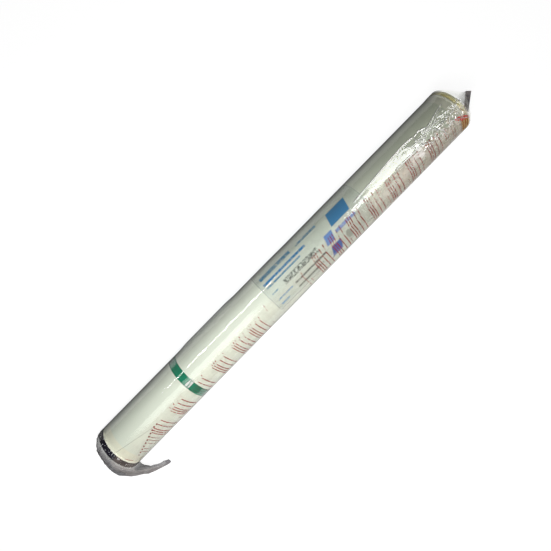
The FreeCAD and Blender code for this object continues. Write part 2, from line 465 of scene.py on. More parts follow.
# Along the outside from the groove to the flared lip, and back on the inside
outside_line = [
    (groove_start - GAP, lip_radius - 0.9 * MM),
    (groove_start - 0.7 * MM, lip_radius),
    (groove_start - 2.2 * MM, lip_radius + 0.35 * MM),
    (groove_start - 4.2 * MM, lip_radius + 0.1 * MM),
    (end_x + 2.6 * MM, lip_radius + 0.3 * MM),
    (end_x - 0.4 * MM, lip_radius + 0.75 * MM),
]
inside_line = [
    (end_x - 1.0 * MM, lip_radius + 0.6 * MM),
    (end_x - 0.9 * MM, lip_radius + 0.1 * MM),
    (end_x + 3.6 * MM, lip_radius + 0.02 * MM),
    (end_x + 3.9 * MM, lip_radius - 1.5 * MM),
    (end_x + 3.9 * MM, groove_floor),
]
seal = turned("brine_seal_shown", [(groove_start - GAP, groove_floor)] + outside_line + inside_line)

# %% [markdown]
# ### Rubber
# The rubber is black with a trace of blue. It is wet with preservative, so its gloss changes
# from place to place. Pale specks on its upper half are painted highlights, glints of light on it.

# %% Rubber
RUBBER = (0.005, 0.004, 0.012)
SPECK_HIGHLIGHT = (0.70, 0.70, 0.74)

rubber, tree, shader = new_material("rubber", RUBBER, 0.3, Specular_IOR_Level=0.25)
place = object_place(tree)
x, y, z = split(place)
feed(noise(place, 80.0) * 0.2 + 0.2, shader.inputs["Roughness"])
# Painted highlights: pale specks on the upper half of the rubber
painted_glints = (noise(place, 330.0, 1.0) > 0.67) * (z > axis_height)
feed(mix_colour(painted_glints, RUBBER, SPECK_HIGHLIGHT), shader.inputs["Base Color"])
set_material(seal, rubber)
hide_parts("brine_seal")
print("rubber set on", seal.name)

# %% [markdown]
# ## Shell wrap
# The wrap is pale green-white and glossy. Towards the far end its colour darkens a little,
# painted shade that adds to the fall-off of the light. It lets the cap's cream skirt show
# through next to each end, so its colour changes there over a strip as wide as the skirt. A
# turned tube with many steps stands for the CAD tube, so that its highlights are smooth.

# %% Shell wrap
SKIRT = 16 * MM
SHELL_PALE = (0.80, 0.845, 0.74)
SHELL_DEEP = (0.75, 0.80, 0.69)
SHELL_FAR_SHADE = (0.70, 0.735, 0.585)
SHELL_CREAM = (0.84, 0.84, 0.69)

shell = turned(
    "shell_shown",
    [
        (shell_low.x, shell_radius - 2.9 * MM),
        (shell_low.x, shell_radius - 0.3 * MM),
        (shell_low.x + 0.5 * MM, shell_radius),
        (shell_high.x - 0.5 * MM, shell_radius),
        (shell_high.x, shell_radius - 0.3 * MM),
        (shell_high.x, shell_radius - 2.9 * MM),
    ],
    steps=256,
)
wrap, tree, shader = new_material("wrap", SHELL_PALE, 0.35, Specular_IOR_Level=0.3)
place = object_place(tree)
x, y, z = split(place)
body = mix_colour(use_group(fibre, Place=place), SHELL_PALE, SHELL_DEEP)
# Painted shade: the wrap's colour darkens towards the far end
far_shade_painted = between(x, 0.0, 9.0, shell_high.x)
body = mix_colour(far_shade_painted, body, SHELL_FAR_SHADE)
past_skirts = between(x, shell_low.x + SKIRT, shell_high.x - SKIRT, 1.5 * MM)
feed(mix_colour(past_skirts, SHELL_CREAM, body), shader.inputs["Base Color"])
set_material(shell, wrap)
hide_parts("shell_wrap")
print("wrap set on", shell.name)

# %% [markdown]
# ## Green band
# A turn of green tape round the wrap. It is a thin turned ring. On the -Y side the tape was
# drawn together as it went round the roll, and the shade in its wrinkles is painted as dark lines.

# %% Green band
TAPE_GREEN = (0.0, 0.21, 0.11)
TAPE_WRINKLE_SHADE = (0.01, 0.09, 0.055)
WRINKLES = (-279.0 * MM, -273.5 * MM, -269.0 * MM)
SKIN_LOW = shell_radius + 0.03 * MM
SKIN_HIGH = shell_radius + 0.28 * MM

places = np.linspace(band_low.x, band_high.x, 7)
band_profile = [(x, SKIN_HIGH) for x in places] + [(x, SKIN_LOW) for x in places[::-1]]
band = turned("band_shown", band_profile)

green, tree, shader = new_material("green_tape", TAPE_GREEN, 0.12, Coat_Weight=0.1)
x, y, z = split(object_place(tree))
wrinkles = [around(x, line, 0.9 * MM, 0.5 * MM) for line in WRINKLES]
# Painted shade: dark lines in the tape's wrinkles on the -Y side
wrinkle_shade = reduce(Value.at_least, wrinkles) * between(y, -60 * MM, -19 * MM, 6 * MM)
feed(mix_colour(wrinkle_shade, TAPE_GREEN, TAPE_WRINKLE_SHADE), shader.inputs["Base Color"])
set_material(band, green)
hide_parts("colour_band")
print("tape set on", band.name)

# %% [markdown]
# ## Label: the shape
# A clear label, laid over the top of the wrap. It is a thin slab that follows the roll. Its
# rounded corners come from rows that start further in, the nearer they are to its two ends.

# %% Label: the shape
LABEL_TOP_ARC = -96 * MM
LABEL_LOW_ARC = 45 * MM
LABEL_CORNER = 7 * MM


def label_mesh():
    """A thin slab on the roll: two grids and a wall round them."""
    near = LABEL_CORNER * (1 - np.cos(np.linspace(0, math.pi / 2, 9)))
    middle = np.linspace(label_low.x + LABEL_CORNER, label_high.x - LABEL_CORNER, 40)[1:-1]
    places = np.concatenate([label_low.x + near, middle, (label_high.x - near)[::-1]])
    share = np.linspace(0, 1, 97)
    outer, inner, uv = [], [], []
    for x in places:
        depth = min(x - label_low.x, label_high.x - x, LABEL_CORNER)
        inset = LABEL_CORNER - math.sqrt(LABEL_CORNER**2 - (LABEL_CORNER - depth) ** 2)
        arcs = (LABEL_TOP_ARC + inset) * (1 - share) + (LABEL_LOW_ARC - inset) * share
        outer.append(on_roll(x, arcs, SKIN_HIGH))
        inner.append(on_roll(x, arcs, SKIN_LOW))
        uv.append(np.stack([np.full_like(arcs, x), arcs], axis=-1))
    rows, columns = len(places), len(share)
    half = rows * columns
    faces = grid_faces(rows, columns) + grid_faces(rows, columns, first=half, flip=True)
    rim = [row * columns for row in range(rows)]
    rim += [(rows - 1) * columns + column for column in range(1, columns)]
    rim += [row * columns + columns - 1 for row in range(rows - 2, -1, -1)]
    rim += [column for column in range(columns - 2, 0, -1)]
    for here, there in zip(rim, rim[1:] + rim[:1]):
        faces.append((here, there, there + half, here + half))
    points = np.array(outer + inner).reshape(-1, 3)
    flat_uv = np.array(uv).reshape(-1, 2)
    return new_object("label_shown", points, faces, uv=np.vstack([flat_uv, flat_uv]))


label = label_mesh()

# %% [markdown]
# ## Label: the layout
# The print is plain blue and grey bars and three slanted blocks. Each is one row of a list,
# with its place along and round the roll in millimetres, so that the layout reads like a
# drawing. The last number of a bar says how broken its strokes are.

# %% Label: the layout
BLUE = (0.02, 0.21, 0.52)
PALE_BLUE = (0.08, 0.25, 0.42)
VIOLET_BLUE = (0.22, 0.31, 0.60)
GREY = (0.10, 0.11, 0.10)
BARS = [
    (-39, 43, -39.5, -30, PALE_BLUE, 0.46),
    (-41, 72, -22.3, -16.7, BLUE, 0.41),
    (-39, 51, -13, -9, PALE_BLUE, 0.42),
    (59, 114, -36.5, -30.5, PALE_BLUE, 0.47),
    (-7, 84, -2, 10, GREY, 0.50),
    (8, 92, 18.8, 23.2, GREY, 0.42),
    (8, 77, 31, 35, GREY, 0.42),
    (-41, 0, 19.5, 22.5, BLUE, 0.46),
    (-41, -17, 31, 35, BLUE, 0.46),
    (-40, -24, 2.5, 5.5, PALE_BLUE, 0.50),
    (133, 186, 2.5, 9.5, VIOLET_BLUE, 0.36),
]
BLOCKS = [
    (131, 181, -34, -6, (0.045, 0.223, 0.456)),
    (107, 128, -4, 16, (0.127, 0.262, 0.60)),
    (114, 140, 22, 43, (0.0, 0.085, 0.44)),
]
BLOCK_SLANT = 0.35
print(len(BARS), "bars and", len(BLOCKS), "blocks")

# %% [markdown]
# ## Label: the print
# Stretched noise breaks each bar into upright strokes, which spell nothing. Where there is
# no print the label is almost clear, so the material's alpha follows the print.

# %% Label: the print
STROKES_ALONG = 540.0
STROKES_ROUND = 130.0
LABEL_TINT = (0.73, 0.80, 0.77)
CLEAR_COVER = 0.14

label_print, tree, shader = new_material("label_print", LABEL_TINT, 0.3)
x, arc = split(uv_place(tree))[:2]
stretched = tree.nodes.new("ShaderNodeCombineXYZ")
feed(x * STROKES_ALONG, stretched.inputs[0])
feed(arc * STROKES_ROUND, stretched.inputs[1])
strokes = noise(Value(tree, stretched.outputs[0]), 1.0, 1.0)

colour = LABEL_TINT
masks = []
for start, end, low, high, shade, broken in BARS:
    lengthways = between(x, start * MM, end * MM, 0.8 * MM)
    masks.append(lengthways * between(arc, low * MM, high * MM, 0.6 * MM) * (strokes > broken))
    colour = mix_colour(masks[-1], colour, shade)
for start, end, low, high, shade in BLOCKS:
    lengthways = between(x + arc * BLOCK_SLANT, start * MM, end * MM, 0.6 * MM)
    masks.append(lengthways * between(arc, low * MM, high * MM, 0.6 * MM))
    colour = mix_colour(masks[-1], colour, shade)
cover = reduce(Value.at_least, masks)
print("label print", len(tree.nodes), "nodes")

# %% [markdown]
# ### Smudge and cut edge
# A round grey smudge lies beside the lowest block. The light that the cut edge of the label
# catches is painted as a thin grey line, which is all that shows where the clear label ends.

# %% Smudge and cut edge
SMUDGE_PLACE = (151.5 * MM, 29 * MM)
SMUDGE_SIZE = (6.5 * MM, 9 * MM)
SMUDGE_GREY = (0.36, 0.38, 0.28)
CUT_EDGE = 0.9 * MM
CUT_EDGE_LIGHT_GREY = (0.38, 0.45, 0.50)


def in_ellipse(x, arc, size):
    """1 inside an ellipse with these half axes."""
    return (x / size[0]) ** 2.0 + (arc / size[1]) ** 2.0 < 1.0


smudge = in_ellipse(x - SMUDGE_PLACE[0], arc - SMUDGE_PLACE[1], SMUDGE_SIZE) * 0.6
colour = mix_colour(smudge, colour, SMUDGE_GREY)

# Painted light: a thin grey line along the label's cut edge
inner_x = between(x, label_low.x + CUT_EDGE, label_high.x - CUT_EDGE, 0.5 * MM)
inner_arc = between(arc, -1.0, LABEL_LOW_ARC - CUT_EDGE, 0.5 * MM)
cut_edge_light = 1.0 - inner_x * inner_arc
colour = mix_colour(cut_edge_light, colour, CUT_EDGE_LIGHT_GREY)
cover = cover.at_least(smudge).at_least(cut_edge_light * 0.28).at_least(CLEAR_COVER)
feed(colour, shader.inputs["Base Color"])
feed(cover, shader.inputs["Alpha"])
set_material(label, label_print)
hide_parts("label")
print("print set on", label.name)

# %% [markdown]
# ## Film bag: columns and sections
# The bag is one tube of film. Each row of the grid is one section of the tube, so the whole
# bag is a single closed grid. Over the element a section is round, and flat where it lies on
# the floor. Its columns are close together on the side where the film is creased. Cloth
# simulation could crumple such a bag too, but it would not give the creases of this one.

# %% Film bag: columns and sections
FINE_START, FINE_END = 48, 162
FINE_COLUMNS, WIDE_COLUMNS = 140, 68
BASE_ANGLE = 50
BASE_SHARES = [0, 0.40, 0.52, 1]

fine = np.linspace(FINE_START, FINE_END, FINE_COLUMNS, endpoint=False)
wide = np.linspace(FINE_END, FINE_START + 360, WIDE_COLUMNS, endpoint=False)
degrees = np.concatenate([fine, wide]) % 360
COLUMNS = len(degrees)
half_turn = np.where(degrees > 180, 360 - degrees, degrees)
from_top = np.where(degrees > 270, degrees - 450, degrees - 90)
arc_of_column = from_top / 180 * math.pi * shell_radius
film_radius = bag_radius - 0.1 * MM


def section(radius):
    """The round section of the bag: y and z for every column, flat where it lies."""
    turn = np.radians(degrees)
    y, z = radius * np.cos(turn), axis_height + radius * np.sin(turn)
    below = np.where(degrees > 270, 360 - degrees, degrees - 180)
    low = (degrees > 180 + BASE_ANGLE) & (degrees < 360 - BASE_ANGLE)
    leave_y = radius * math.cos(math.radians(BASE_ANGLE))
    leave_z = axis_height - radius * math.sin(math.radians(BASE_ANGLE))
    share = (below - BASE_ANGLE) / (90 - BASE_ANGLE)
    low_y = np.interp(share, BASE_SHARES, [leave_y, 19.6 * MM, 15.5 * MM, 0])
    low_z = np.interp(share, BASE_SHARES, [leave_z, 0.9 * MM, 0.2 * MM, 0.2 * MM])
    side = np.where(degrees > 270, 1, -1)
    return np.where(low, side * low_y, y), np.where(low, low_z, z)


y_round, z_round = section(film_radius)
print("columns", COLUMNS, "film radius", round(film_radius, 4))

# %% [markdown]
# ## Film bag: the welded seams
# Past each cap the tube closes to a welded seam: at the seal end a wide level seam that
# trails back on the -Y side, at the far end a narrow seam that leans. The wide one follows
# a line of places read along the seam. Each half of the tube runs along it once, from the
# +Y end of the seam to its trailing tip.

# %% Film bag: the welded seams
SEAL_SEAM = [
    (-498, 46.6, 36), (-511.6, 36.7, 35), (-517.2, 27.6, 35), (-532, 18.9, 34),
    (-535.7, 1.9, 34), (-538.3, -25.1, 34), (-534.1, -41.3, 34), (-516.7, -62, 33),
    (-506.6, -69.5, 33), (-494.7, -76.5, 34), (-488.4, -82.5, 34), (-472.3, -89.5, 34),
    (-461, -93, 34), (-452.5, -95.8, 35), (-441.5, -98.6, 36), (-435.2, -98.6, 36),
    (-436.2, -90.5, 37),
]
FAR_SEAM_LOW = np.array((529.2, -25.2, 5)) * MM
FAR_SEAM_HIGH = np.array((517.5, 4.5, 80)) * MM
FAR_SEAM_OUT = np.array((7.6, -7.6, 0)) * MM
HALF_WELD = 0.3 * MM


def along(points, share):
    """Places on a broken line, by the share of its length."""
    steps = np.linalg.norm(np.diff(points, axis=0), axis=1)
    reach = np.concatenate([[0], np.cumsum(steps)]) / steps.sum()
    return np.stack([np.interp(share, reach, column) for column in points.T], axis=-1)


seal_seam = along(np.array(SEAL_SEAM) * MM, half_turn / 180)
seal_seam[:, 2] += np.where(degrees > 180, -HALF_WELD, HALF_WELD)
height = (np.sin(np.radians(degrees)) + 1) / 2
far_seam = FAR_SEAM_LOW + (FAR_SEAM_HIGH - FAR_SEAM_LOW) * height[:, None]
side = np.where((degrees < 90) | (degrees > 270), 1, -1)
far_seam[:, :2] += (side * HALF_WELD)[:, None] * np.array((0.7, 0.7))
print("tip of the wide seam", SEAL_SEAM[-1])

# %% [markdown]
# ## Film bag: the rows
# The rows run from the wide seam over the element to the leaning one. Each row also says how
# loose the film is there, for its crumples, and how much it is folded on itself, for its
# grey. Rows stand closer together on the far part, where the film is creased.

# %% Film bag: the rows
PAST_CAP = 2 * MM
FAR_CREASES = 190 * MM
start_x = cap_low.x - PAST_CAP
end_x = far_cap_end + PAST_CAP
rows, uv, loose, folded = [], [], [], []


def bent(start, control, end, share):
    """A point on the bend from start to end that leaves towards control."""
    return (1 - share) ** 2 * start + 2 * share * (1 - share) * control + share**2 * end


def add_row(points, x, looseness, folding):
    """One section of the bag, with its place on the film's own map."""
    rows.append(points)
    uv.append(np.stack([np.full(COLUMNS, x), arc_of_column], axis=-1))
    loose.append(np.full(COLUMNS, looseness))
    folded.append(np.full(COLUMNS, folding))


def ring_at(x):
    """The round section of the bag at x."""
    return np.stack([np.full(COLUMNS, x), y_round, z_round], axis=-1)


lean = np.clip((half_turn - 110) / 70, 0, 1)
pull = np.stack([-(19 - 12 * lean) * MM, -11 * lean * MM, -4 * lean * MM], axis=-1)
for share in np.linspace(1, 0, 46)[:-1]:
    points = bent(ring_at(start_x), ring_at(start_x) + pull, seal_seam, share)
    looseness = 0.9 * min(share * 5, 1.0) * min((1 - share) * 8 + 0.15, 1.0)
    add_row(points, start_x - 0.07 * share, looseness, min(share * 7, 1.0) + 0.35 * (share > 0.93))

straight = np.linspace(start_x, FAR_CREASES, 80)[:-1]
front = np.exp(-(((arc_of_column - 0.012) / 0.022) ** 2))
for x in np.concatenate([straight, np.linspace(FAR_CREASES, end_x, 290)]):
    near_far = np.clip((x - 0.355) / 0.03, 0, 1)
    add_row(ring_at(x), x, 0.02 + 0.75 * near_far * front, 0.0)

far_control = ring_at(end_x) + np.array((8, 0, 0)) * MM
for share in np.linspace(0, 1, 31)[1:]:
    points = bent(ring_at(end_x), far_control, far_seam, share)
    add_row(points, end_x + 0.05 * share, 0.15, max(0.0, share * 6 - 5))
for share in np.linspace(0, 1, 8)[1:]:
    add_row(far_seam + FAR_SEAM_OUT * share, end_x + 0.05 + 0.01 * share, 0.15, 1.6)

rows, uv, loose, folded = [np.array(values) for values in (rows, uv, loose, folded)]
print("film rows", rows.shape)

# %% [markdown]
# ## Film bag: folds and creases
# Where the film is pulled tight it stands off as a ridge, and lies in two flat facets that
# meet the round film again on both sides. A flat facet mirrors one light as a whole, and so
# the picture shows a bright wedge with one sharp edge. Smaller creases are rounded ridges.
# Both are lists of places along and round the element, in millimetres, and a fold's third
# number is the height of its ridge.

# %% Film bag: folds and creases
FOLDS = [
    [(198, -9, 0), (225, -11, 0.5), (250, -12, 1.0), (300, -15.5, 2.0)]
    + [(345, -17.5, 2.4), (358, -17, 1.2), (368, -16, 0)],
    [(396, -7, 0), (402, -9, 0.9), (415, -12, 1.6), (440, -18, 0.7), (454, -21, 0)],
    [(405, -3, 0), (411, -5, 0.8), (437, -13, 1.2), (446, -15, 0)],
    [(366, 19, 0), (378, 19, 1.6), (396, 19, 2.0), (404, 17, 1.2), (412, 15, 0)],
    [(452, 21, 0), (460, 25, 1.2), (474, 33, 1.6), (483, 39, 1.0)],
]
CREASES = [
    [(367, -8), (371, -14), (384, -16), (396, -12), (402, -9)],
    [(367, -8), (372, -4), (388, -3), (401, -8)],
    [(345, -10), (352, -4), (365, -3), (373, 0), (386, 4)],
    [(352, -4), (356, 3)],
    [(300, 5), (345, 6.5), (372, 6), (387, 2)],
    [(369, 8), (381, 13), (392, 19)],
    [(405, 8), (400, 16), (392, 20)],
    [(413, 8), (420, 16), (424, 28)],
    [(418, 2), (434, 6), (445, 3)],
    [(440, 14), (452, 6), (466, 2), (478, -4)],
    [(434, 21), (447, 17), (458, 20)],
    [(455, 21), (466, 27), (482, 38)],
    [(458, 11), (470, 15), (478, 12)],
    [(430, -2), (417, -5)],
    # These three short creases lie over the green band, and their whitening is a painted highlight
    # across it
    [(-281, 4), (-274, 8), (-267, 5)],
    [(-279, 8), (-272, 11), (-266, 9)],
    [(-283, 11), (-276, 14), (-270, 13)],
    [(386, -12), (395, -6), (408, 3), (412, 11)],
]
SHARP_FOLDS = FOLDS[:4]
CREASE_HEIGHT = 0.9 * MM
CREASE_WIDTH = 1.1 * MM


def ridge(line):
    """1 on a broken line, and less beside it over the width of a crease."""
    best = np.full(uv.shape[:-1], 1.0)
    for first, second in zip(line, line[1:]):
        first, second = np.array(first) * MM, np.array(second) * MM
        run = second - first
        share = np.clip(((uv - first) @ run) / (run @ run), 0, 1)
        best = np.minimum(best, np.linalg.norm(uv - first - share[..., None] * run, axis=-1))
    return np.exp(-((best / CREASE_WIDTH) ** 2))


def facet_lift(fold):
    """How far the two flat facets of a pulled fold stand off the round film."""
    x, middle, ridge_height = np.array(fold).T * MM
    rise = np.interp(uv[..., 0], x, ridge_height, left=0, right=0)
    angle = np.abs(uv[..., 1] - np.interp(uv[..., 0], x, middle)) / shell_radius
    reach = np.arccos(film_radius / (film_radius + rise))
    inside = angle < reach
    return np.where(inside, film_radius * (1 / np.cos(np.where(inside, reach - angle, 0)) - 1), 0)


lift = np.maximum.reduce([facet_lift(fold) for fold in FOLDS])
crease = np.maximum.reduce([ridge(line) for line in CREASES])
for fold in SHARP_FOLDS:
    crease = np.maximum(crease, 0.8 * ridge([(x, arc) for x, arc, ridge_height in fold]))
lift += CREASE_HEIGHT * crease
print("highest fold", round(float(lift.max()) / MM, 2), "mm")

# %% [markdown]
# ## Film bag: the mesh
# On the +Y side the bag stands off the wrap over a part of its length, and lies close to it
# over the far part. Every place is then moved outward by its lift, and the grid becomes one
# mesh with three attributes for the crumples and for the look.

# %% Film bag: the mesh
STAND_OFF = 1.4 * MM
STAND_OFF_MIDDLE = (-178 * MM, -76 * MM)
CLOSE_BY = 0.65 * MM

stand_off = np.clip((0.078 - np.abs(uv[..., 0] - STAND_OFF_MIDDLE[0])) / 0.02, 0, 1)
stand_off = stand_off * np.exp(-(((uv[..., 1] - STAND_OFF_MIDDLE[1]) / 0.02) ** 2))
close_by = np.clip(uv[..., 0] / 0.05, 0, 1) * np.clip((0.468 - uv[..., 0]) / 0.01, 0, 1)
close_by = close_by * np.clip((-0.022 - uv[..., 1]) / 0.02, 0, 1)
lift += STAND_OFF * stand_off
lift -= CLOSE_BY * close_by

turn = np.radians(degrees)
outward = np.stack([np.zeros(COLUMNS), np.cos(turn), np.sin(turn)], axis=-1)
rows = rows + lift[..., None] * outward
film_faces = grid_faces(len(rows), COLUMNS, closed=True, flip=True)
film = new_object("film_shown", rows.reshape(-1, 3), film_faces, uv=uv.reshape(-1, 2))
for title, values in (("loose", loose), ("folded", folded), ("crease", crease)):
    layer = film.data.attributes.new(title, "FLOAT", "POINT")
    layer.data.foreach_set("value", values.astype(np.float32).ravel())

# %% [markdown]
# ## Film bag: crumples
# Small crumples cover the film where it is loose. They follow the surface, so Geometry
# Nodes make them: folded noise moves each point along its normal, by as much as the
# `loose` attribute allows. The film's faces look inwards, so most crumples are dents.

# %% Film bag: crumples
CRUMPLE = {"Height": 2.6 * MM, "Scale": 75.0, "Seed": 3.0}
FOLD_WIDTH = 0.16
FOLD_GAIN = 6.0

crumple = bpy.data.node_groups.new("crumple", "GeometryNodeTree")
add_node, link = crumple.nodes.new, crumple.links.new
crumple.interface.new_socket("Geometry", in_out="INPUT", socket_type="NodeSocketGeometry")
for title, value in CRUMPLE.items():
    made = crumple.interface.new_socket(title, in_out="INPUT", socket_type="NodeSocketFloat")
    made.default_value = value
crumple.interface.new_socket("Material", in_out="INPUT", socket_type="NodeSocketMaterial")
crumple.interface.new_socket("Geometry", in_out="OUTPUT", socket_type="NodeSocketGeometry")
start = add_node("NodeGroupInput").outputs
end = add_node("NodeGroupOutput").inputs

texture = add_node("ShaderNodeTexNoise")
texture.noise_dimensions = "4D"
texture.inputs["Detail"].default_value = 2.5
link(start["Scale"], texture.inputs["Scale"])
link(start["Seed"], texture.inputs["W"])
position = add_node("GeometryNodeInputPosition")
link(position.outputs[0], texture.inputs["Vector"])
fold = FOLD_WIDTH - calc("ABSOLUTE", Value(crumple, texture.outputs[0]) - 0.5)

looseness = add_node("GeometryNodeInputNamedAttribute")
looseness.data_type = "FLOAT"
looseness.inputs["Name"].default_value = "loose"
amount = fold * FOLD_GAIN * Value(crumple, start["Height"]) * Value(crumple, looseness.outputs[0])
push = add_node("ShaderNodeVectorMath")
push.operation = "SCALE"
link(add_node("GeometryNodeInputNormal").outputs[0], push.inputs[0])
feed(amount, push.inputs["Scale"])

move = add_node("GeometryNodeSetPosition")
link(start["Geometry"], move.inputs["Geometry"])
link(push.outputs[0], move.inputs["Offset"])
real = add_node("GeometryNodeRealizeInstances")
link(move.outputs[0], real.inputs[0])
dress = add_node("GeometryNodeSetMaterial")
link(real.outputs[0], dress.inputs["Geometry"])
link(start["Material"], dress.inputs["Material"])
link(dress.outputs[0], end["Geometry"])
print("group", crumple.name)

# %% [markdown]
# ## Film bag: the lines of the print
# The print is thin red lines round the bag, on its -Y side. They stand in groups of five,
# three close together and two wider apart, and a few stand alone. The group gives 1 on a
# line, from a place along the element in millimetres that is already set for the lean.

# %% Film bag: the lines of the print
GROUP_STARTS = (-391.8, -335.3, -279, -219.8, -165.2, -122)
GROUP_STARTS += (62.2, 109.9, 158.5, 210.4, 265.2, 320.5, 374.6)
GROUP_LINES = (0, 5.1, 10.3, 20.6, 31)
LINE_WIDTH = 2.1
LINE_EDGE = 0.4
NO_LINE = 1000.0

red_lines, inside, outside = new_group("red_lines", [("Along", "NodeSocketFloat", None)], "Mask")


def past_start(start):
    """How far a place is past the start of a group, and far off before it."""
    past = inside["Along"] - start
    return past + (past < -LINE_WIDTH) * NO_LINE


nearest = reduce(Value.at_most, [past_start(start) for start in GROUP_STARTS])
lines = [around(nearest, line, LINE_WIDTH / 2, LINE_EDGE) for line in GROUP_LINES]
feed(reduce(Value.at_least, lines), outside)

# %% [markdown]
# ## Film bag: where the print stands
# A lengthways overlap of the film divides the print: under it the lines lean one way, above
# it the other. The wide column below the overlap begins along a slanting line at the seal
# end, and the narrow column above it is faint and broken.

# %% Film bag: where the print stands
OVERLAP_ARC = 19.3
WIDE_COLUMN_END = 60.0
NARROW_COLUMN_END = 18.0
DIAGONAL_START = -447
DIAGONAL_ARC = 41.0
DIAGONAL_DROP = 0.345

clear, tree, shader = new_material(
    "clear_film", (0.45, 0.45, 0.46), 0.25, Specular_IOR_Level=0.0
)
place = uv_place(tree)
x, arc = split(place)[:2]
x_mm = x * 1000.0
arc_mm = arc * 1000.0

# The lines lean by this much for each millimetre round, less towards the far end
lean = 0.085 - x_mm * 0.00018
under = x_mm - lean * (arc_mm - 40.0)
over = x_mm + (arc_mm - OVERLAP_ARC) * 0.2
leaning = (arc_mm > OVERLAP_ARC) * (under - over) + over

diagonal = DIAGONAL_ARC - (x_mm - DIAGONAL_START) * DIAGONAL_DROP
wide_start = diagonal.at_least(OVERLAP_ARC)
wide_column = between(arc_mm, wide_start, WIDE_COLUMN_END, 0.8)
narrow_start = ((160.0 - x_mm) * 0.07).at_least(1.0).at_most(13.5)
narrow_start = narrow_start.at_least((x_mm - 215.0) * 0.06)
narrow_column = between(arc_mm, narrow_start, NARROW_COLUMN_END, 0.8) * (x_mm > -350.0)

ink = noise(place, 260.0, 1.5)
breaks = ink > 0.40
faint = ink > (x_mm < 0.0) * 0.05 + 0.46
columns = (wide_column * breaks).at_least(narrow_column * faint)
printed = columns * use_group(red_lines, Along=leaning)
print("print columns", len(tree.nodes), "nodes")

# %% [markdown]
# ### Single lines and dots
# Some lines stand alone, and each is one row of a list: its place along the element, and
# where it starts and ends round it. A row of small dots runs slantwise from the seal end to
# where the lines begin. Over the green band the print can hardly be told from the tape.

# %% Single lines and dots
SINGLE_LINES = [
    (-464, 22, 42), (-439, 39, 56), (-431, 37, 56), (-417, 30, 58), (-409, 29, 58),
    (-402, 27, 52), (-344, 47, 58), (-142, 38, 58), (-79, 48, 58), (-69.5, 5, 19),
    (27.7, 10, 58), (36.5, 38, 52), (147, 38, 54), (256, 30, 56), (311, 40, 56), (419, 20, 40),
    (424, 18, 44), (437, 28, 56), (443, 32, 58),
]
SINGLE_HALF_WIDTH = 0.7

for start, low, high in SINGLE_LINES:
    lengthways = around(leaning, start, SINGLE_HALF_WIDTH, LINE_EDGE)
    printed = printed.at_least(lengthways * between(arc_mm, low, high, 1.0) * breaks)
over_band = between(x, band_low.x, band_high.x, 0.5 * MM)
printed = printed * (0.94 - over_band * 0.8)

dot_row = around(arc_mm - wide_start, 0.0, 1.9, 0.8) * between(x_mm, -450.0, -372.0, 1.0)
dots = ((x_mm * 0.85).wave() > 0.3) * dot_row
print(len(SINGLE_LINES), "single lines")

# %% [markdown]
# ### Patch, stain and overlap
# Near the far end the print is crumpled to a red patch, over a warm stain with dark lines.
# The overlap of the film is a faint dark line, stronger where it slants at the seal end.

# %% Patch, stain and overlap
PATCH_X = 467.0
PATCH_ARC = 29.0
PATCH_SIZE = (15.0, 5.5)

patch_line = (x_mm - PATCH_X) * 0.55 + PATCH_ARC
patch = in_ellipse(x_mm - PATCH_X, arc_mm - patch_line, PATCH_SIZE) * (ink > 0.45) * 0.9

stain = between(x_mm, 458.0, 484.0, 5.0) * between(arc_mm, 30.0, 66.0, 6.0) * 0.65
stain_lines = ((x_mm * 1.15).wave() > 0.45) * (stain * 1.3)

overlap_line = ((x_mm + 468.0) * 0.21 + 1.0).at_most(OVERLAP_ARC)
overlap = around(arc_mm - overlap_line, 0.0, 0.7, 0.5)
overlap = overlap * ((x_mm < -385.0) * 0.22 + 0.20) * between(x_mm, -468.0, 370.0, 2.0)
print("patch at", PATCH_X, PATCH_ARC)

# %% [markdown]
# ## Film bag: edges
# Where the film is seen edge-on, painted shade darkens it, more so on the +Y side, and its
# outline there is a thin line of painted shade that is darker still. Past the far cap nothing lies
# behind the film, and where it is folded its grey shows instead. Each crease has a thin line of
# painted shade along its two sides.


# %% Film bag: edges
def film_attribute(name):
    """The value of one of the film's own attributes."""
    made = tree.nodes.new("ShaderNodeAttribute")
    made.attribute_name = name
    return Value(tree, made.outputs["Fac"])


OPEN_END = 9.0
FAR_CAP = 484.0

folded_film = film_attribute("folded")
creased = film_attribute("crease")
layer_weight = tree.nodes.new("ShaderNodeLayerWeight")
layer_weight.inputs["Blend"].default_value = 0.5
facing = Value(tree, layer_weight.outputs["Facing"])
# Painted shade darkens the film's edges more on its +Y side
plus_y_side = arc_mm < 0.0
past_cap = x_mm > FAR_CAP

# Painted shade where the film is seen edge-on, and along the two sides of each crease
edge_shade_painted = between(facing, 0.42, OPEN_END, 0.50) * plus_y_side * 0.9
edge_shade_painted = edge_shade_painted.at_least(between(facing, 0.70, OPEN_END, 0.12) * 0.4)
edge_shade_painted = edge_shade_painted.at_least(between(facing, 0.80, OPEN_END, 0.10) * plus_y_side * 0.93)
edge_shade_painted = edge_shade_painted * (1.0 - past_cap) * (1.0 - folded_film * 0.8)
edge_shade_painted = edge_shade_painted.at_least(between(creased, 0.05, 0.50, 0.12) * 0.26)
print("edges", len(tree.nodes), "nodes")

# %% [markdown]
# ## Film bag: colours
# The print side is a little milky and warm, and the stronger milkiness towards the far end is a
# painted sheen. Folded film is grey, partly its own haze in several layers and partly a painted
# reflection of dark surroundings. Creases are whitened, partly stress whitening and partly a
# painted highlight. Each effect is a mask with a colour, and they are laid over each other in
# the order of a list. How much the film hides is the largest of the masks.

